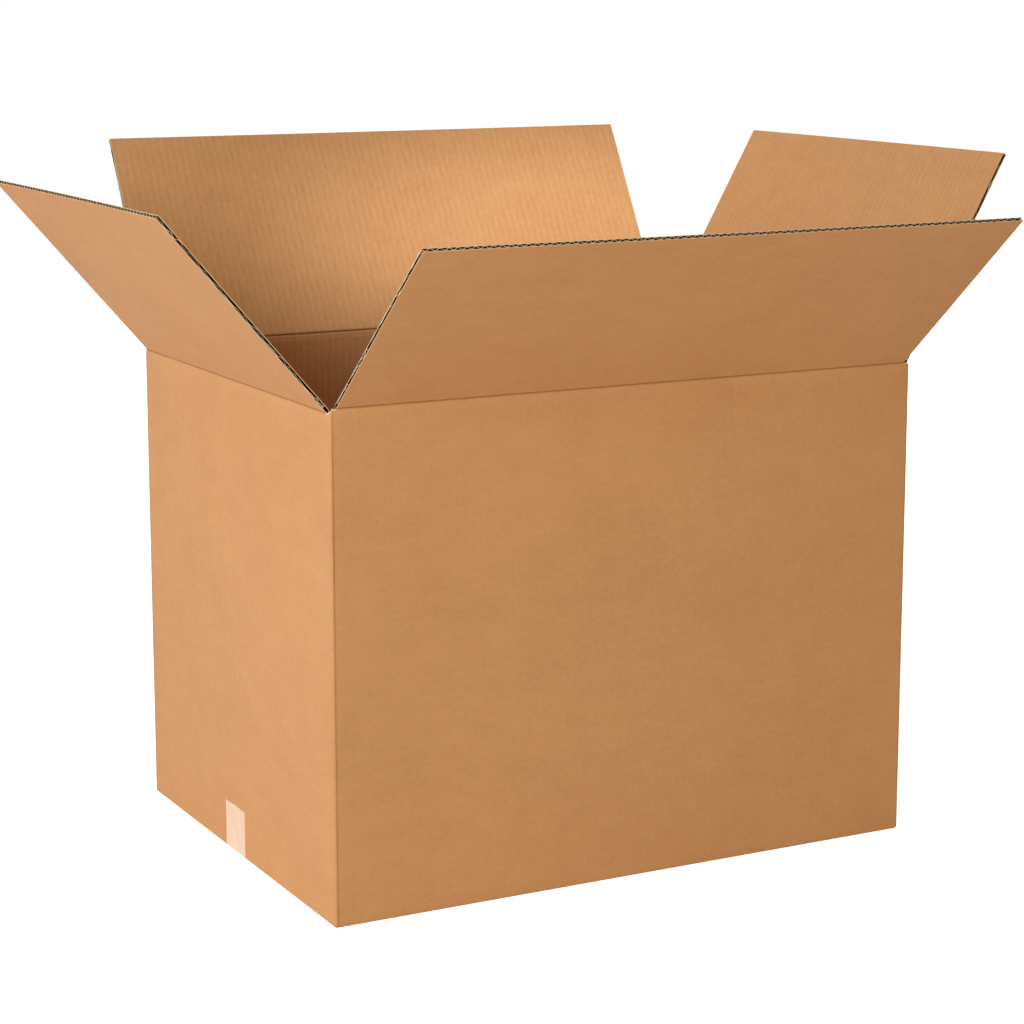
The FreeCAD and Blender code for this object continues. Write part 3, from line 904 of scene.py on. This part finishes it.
def torn_back(across, end):
    """How far the saw blade's teeth cut the film back from its longest point."""
    seed = 3.0 if end else 8.0
    place = across / TOOTH + 0.5 * noise.noise(Vector((across * 90, seed, 0)))
    tooth = abs(2 * (place - math.floor(place)) - 1)
    deep = 0.55 + 0.9 * noise.noise(Vector((math.floor(place) * 1.7, seed, 2.0)))
    wander = 1 + noise.noise(Vector((across * 60, seed, 5.0)))
    return TOOTH_DEPTH * tooth * max(deep, 0.12) + TEAR_WANDER * wander


def tape_spot(column, row):
    across = tape_across[column]
    (x, z, face_x, _), length = tape_path[row]
    if row in (0, len(tape_path) - 1):
        z -= torn_back(across, row > 0)
    wrinkle = WRINKLE * noise.noise(Vector((length * 160, across * 70, 1.0)))
    edge = min(across, tape_width - across)
    lift = wrinkle * ease(edge / WRINKLE_FADE)
    place = Vector((x + face_x * lift, tape_low.y + across, max(z, 0.0)))
    return place, (length, across)


def tape_film():
    """Packing film over kraft: warm and pale, with soft patches where the glue has wetted the board
    less, a lighter line along each cut side, and a low sheen."""
    material = bpy.data.materials.new("packing tape film")
    add = fresh_nodes(material)
    place = add("ShaderNodeUVMap", uv_map="UVMap").outputs["UV"]
    patches = add("ShaderNodeTexNoise", {"Vector": place, "Scale": 55.0, "Detail": 4.0}).outputs["Fac"]
    held = add("ShaderNodeMapping", {"Vector": place, "Scale": (0.25, 6, 1)}).outputs["Vector"]
    streaks = add("ShaderNodeTexNoise", {"Vector": held, "Scale": 90.0, "Detail": 3.0}).outputs["Fac"]
    both = add("ShaderNodeMath", {0: patches, 1: streaks}, operation="ADD").outputs[0]
    both = add("ShaderNodeMath", {0: both, 1: 0.5}, operation="MULTIPLY").outputs[0]
    ramp = add("ShaderNodeValToRGB", {"Fac": both})
    stops = ramp.color_ramp.elements
    stops[0].position, stops[0].color = 0.32, (0.80, 0.53, 0.32, 1)
    stops[1].position, stops[1].color = 0.68, (0.92, 0.64, 0.42, 1)
    across = add("ShaderNodeSeparateXYZ", {0: place}).outputs["Y"]
    off_middle = add("ShaderNodeMath", {0: across, 1: tape_width / 2}, operation="SUBTRACT").outputs[0]
    off_middle = add("ShaderNodeMath", {0: off_middle}, operation="ABSOLUTE").outputs[0]
    edge_start = tape_width / 2 - TAPE_EDGE
    edge = add("ShaderNodeMath", {0: off_middle, 1: edge_start}, operation="GREATER_THAN")
    light_edge = (0.97, 0.72, 0.50, 1)
    colour = add("ShaderNodeMix", {0: edge.outputs[0], 6: ramp.outputs["Color"], 7: light_edge},
                 data_type="RGBA").outputs[2]
    bump = add("ShaderNodeBump", {"Height": both, "Strength": 0.3, "Distance": 0.0002})
    shader = add("ShaderNodeBsdfPrincipled", {
        "Base Color": colour,
        "Roughness": 0.38,
        "Specular IOR Level": 0.45,
        "Normal": bump.outputs["Normal"],
    })
    add("ShaderNodeOutputMaterial", {"Surface": shader.outputs["BSDF"]})
    return material


tape = lay_sheet("tape", len(tape_across), len(tape_path), tape_spot)
tape.data.materials.append(tape_film())
thicken(tape, TAPE_FILM, -1, 0, 0)
finish_piece(tape)
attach(tape, "box")
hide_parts("bottom_tape")

# The floor and the light. A pale seamless floor that the camera sees as white, but for the soft
# shadow under the box. Big soft lamps stand at the left, above it and behind the box, a small warm
# one in front, and a narrow one falls on the back flap. The room gives a little warm light.
bpy.ops.object.select_all(action="DESELECT")
bpy.ops.mesh.primitive_plane_add(size=60, location=(0, 0, 0))
floor = bpy.context.object
floor.name = "floor"
floor_paper = bpy.data.materials.new("floor")
add = fresh_nodes(floor_paper)
matt = add("ShaderNodeBsdfDiffuse", {"Color": (0.86, 0.86, 0.86, 1)})
rays = add("ShaderNodeLightPath")
seen = add("ShaderNodeMath", {0: rays.outputs["Is Camera Ray"], 1: rays.outputs["Is Glossy Ray"]},
           operation="MAXIMUM").outputs[0]
glow_seen, glow_cast = 0.85, 0.03
strength = add("ShaderNodeMath", {0: seen, 1: glow_seen, 2: glow_cast},
               operation="MULTIPLY_ADD").outputs[0]
glow = add("ShaderNodeEmission", {"Color": (1, 1, 1, 1), "Strength": strength})
lit = add("ShaderNodeAddShader", {0: matt.outputs[0], 1: glow.outputs[0]})
add("ShaderNodeOutputMaterial", {"Surface": lit.outputs[0]})
floor.data.materials.append(floor_paper)
floor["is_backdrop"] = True

world = bpy.data.worlds.new("studio")
bpy.context.scene.world = world
add = fresh_nodes(world)
room = add("ShaderNodeBackground", {"Color": (1, 0.95, 0.74, 1), "Strength": 0.19})
white = add("ShaderNodeBackground", {"Color": (1, 1, 1, 1), "Strength": 1.0})
rays = add("ShaderNodeLightPath")
seen = add("ShaderNodeMath", {0: rays.outputs["Is Camera Ray"], 1: rays.outputs["Is Glossy Ray"]},
           operation="MAXIMUM").outputs[0]
seen = add("ShaderNodeMath", {0: seen, 1: rays.outputs["Is Transmission Ray"]},
           operation="MAXIMUM").outputs[0]
mixed = add("ShaderNodeMixShader", {0: seen, 1: room.outputs[0], 2: white.outputs[0]})
add("ShaderNodeOutputWorld", {"Surface": mixed.outputs[0]})

cool_white = (0.98, 1.02, 1.14)
warm_white = (1.05, 0.93, 0.66)
box_middle = Vector((0, 0, 0.3))
lamps = (
    ("left key", (-3.3, -1.9, 1.6), 1.6, 79, cool_white),
    ("top left", (-2.6, 0.0, 3.2), 1.8, 36, cool_white),
    ("small front", (-0.3, -2.3, 1.0), 0.25, 5, warm_white),
    ("back fill", (2.4, 2.8, 1.6), 1.8, 36, cool_white),
)
for name, at, size, power, tint in lamps:
    bpy.ops.object.light_add(type="AREA", location=at)
    lamp = bpy.context.object
    lamp.name = name
    lamp.data.size = size
    lamp.data.energy = power
    lamp.data.color = tint
    lamp.rotation_euler = (box_middle - Vector(at)).to_track_quat("-Z", "Y").to_euler()

# The scale presses the narrow lamp's cone flat, so that it clears the other flaps.
bpy.ops.object.light_add(type="SPOT", location=(0.75, -2.2, 2.0))
accent = bpy.context.object
accent.name = "back flap spot"
accent.scale = (1, 0.42, 1)
accent.data.spot_size = math.radians(15)
accent.data.spot_blend = 1.0
accent.data.shadow_soft_size = 0.08
accent.data.energy = 205
accent.data.color = cool_white
on_back_flap = Vector((0.17, 0.29, 0.57))
accent.rotation_euler = (on_back_flap - accent.location).to_track_quat("-Z", "Y").to_euler()

# The camera looks at the near left corner, from a little above the top.
CAMERA_AT = (-1.2206, -2.3120, 0.8421)
YAW, PITCH = 27.690, 10.129
camera = bpy.data.cameras.new("camera")
camera.lens = 92.9
camera.sensor_width = 36.0
camera.shift_y = -0.06
camera_object = bpy.data.objects.new("camera", camera)
camera_object.location = CAMERA_AT
camera_object.rotation_euler = (math.radians(90 - PITCH), 0, math.radians(-YAW))
bpy.context.scene.collection.objects.link(camera_object)
bpy.context.scene.camera = camera_object
bpy.context.scene.view_settings.view_transform = "Standard"

low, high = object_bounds()
